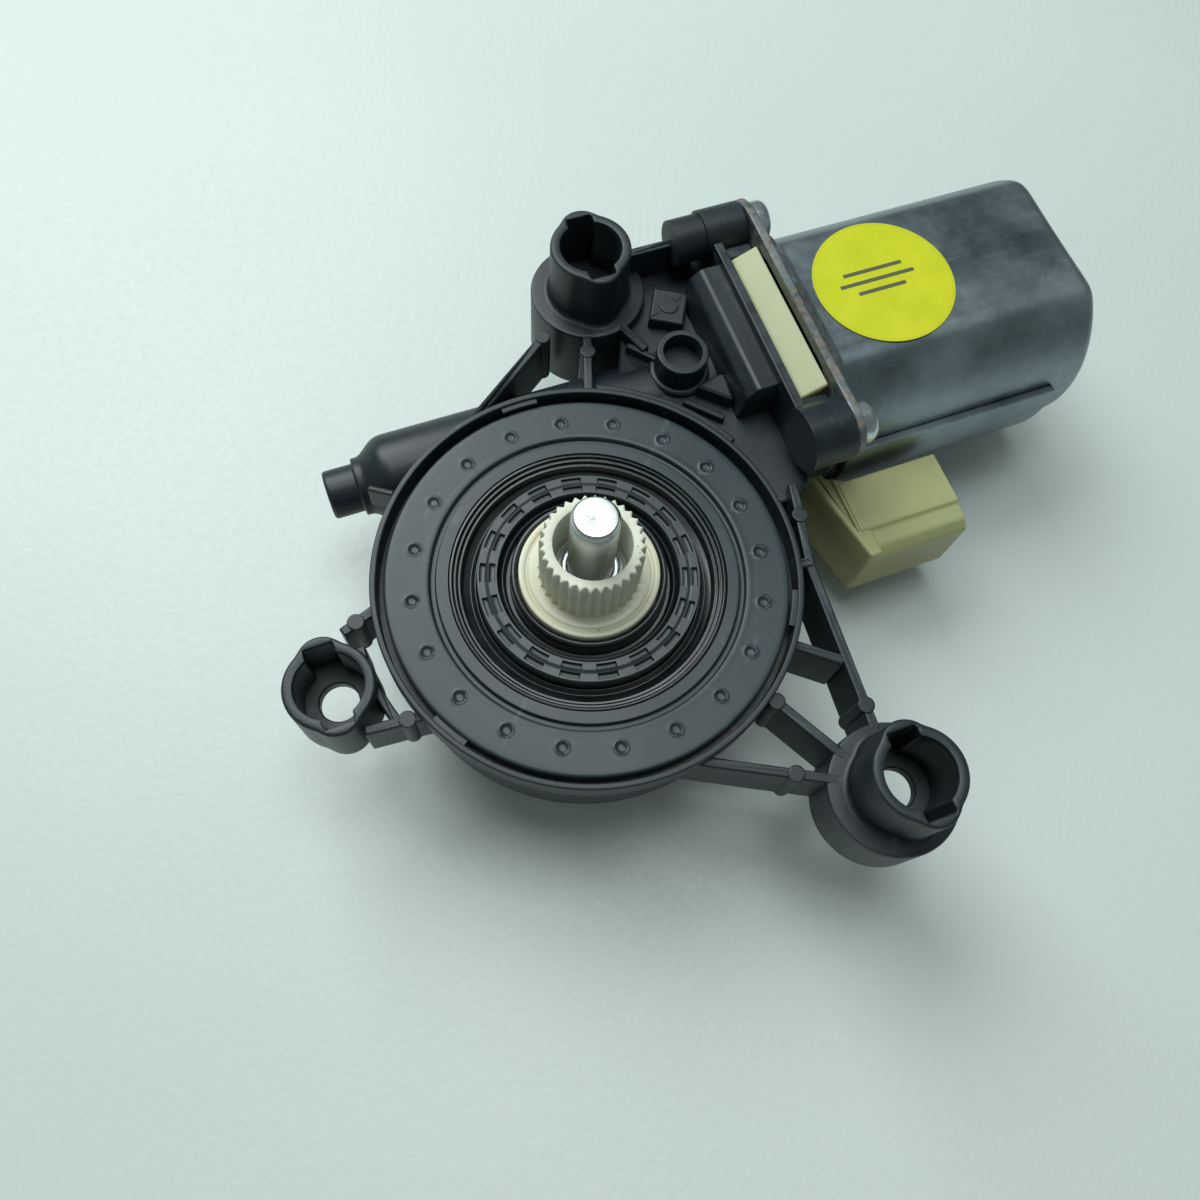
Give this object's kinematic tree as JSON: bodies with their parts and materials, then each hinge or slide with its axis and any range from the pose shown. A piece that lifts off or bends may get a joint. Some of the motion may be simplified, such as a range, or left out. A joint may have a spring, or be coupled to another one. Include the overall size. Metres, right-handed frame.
{
  "type": "window lift gear motor",
  "caption": "Worm-gear motor for a window lift: splined drive hub on a steel pin, ribbed three-boss housing, flat-sided steel motor can and connector socket.",
  "frame": {"origin": "where the output axis meets the gear housing's flat underside", "axes": "+Z along the output pin, out of the splined drive hub; +X along the motor shaft, from the worm tube's closed end to the motor can; +Y from the output axis towards the shaft line"},
  "size_m": [0.1735, 0.1323, 0.0587],
  "materials": {
    "housing": "black glass-filled plastic with a fine moulded grain",
    "cover": "black glass-filled plastic, slightly burnished",
    "rubber": "smooth black seal rubber",
    "wheel": "dark grey gear plastic",
    "hub": "cream bearing plastic",
    "steel": "bright ground steel",
    "can_steel": "zinc-plated deep-drawn sheet steel",
    "zinc": "bright zinc plating",
    "natural": "uncoloured, slightly yellowed plastic",
    "bronze": "sintered bronze",
    "copper": "enamelled copper wire and drawn copper",
    "core": "laminated electrical steel",
    "magnet": "matt ferrite ceramic",
    "carbon": "pressed carbon and copper brush",
    "label": "plain yellow adhesive film"
  },
  "bodies": {
    "housing": {"gear_housing": "housing", "gear_cover": "cover", "cover_seal": "rubber", "output_pin": "steel", "pin_clip": "zinc", "motor_can": "can_steel", "flux_ring": "can_steel", "magnet_far": "magnet", "magnet_near": "magnet", "tube_bush": "bronze", "middle_bush": "bronze", "can_bush": "bronze", "tube_thrust_pad": "natural", "can_thrust_pad": "natural", "flange_screw_near": "zinc", "flange_screw_far": "zinc", "brush_card": "natural", "brush_near": "carbon", "brush_far": "carbon", "brush_spring_near": "steel", "brush_spring_far": "steel", "choke_near": "magnet", "choke_far": "magnet", "terminal_1": "zinc", "terminal_2": "zinc", "label": "label"},
    "armature": {"worm_shaft": "steel", "armature_core": "core", "winding": "copper", "commutator": "copper", "sensor_magnet": "magnet"},
    "output": {"worm_wheel": "wheel", "damper": "rubber", "hub_seal": "rubber", "drive_hub": "hub"}
  },
  "joints": [
    {"name": "armature_spin", "type": "hinge", "parent": "housing", "child": "armature", "pos_m": [0, 0.0354, 0.013], "axis": [1, 0, 0], "continuous": true},
    {"name": "output_spin", "type": "hinge", "parent": "housing", "child": "output", "pos_m": [0, 0, 0.013], "axis": [0, 0, 1], "continuous": true}
  ],
  "couplings": [
    {"joint": "output_spin", "follows": "armature_spin", "ratio": 0.013699}
  ]
}
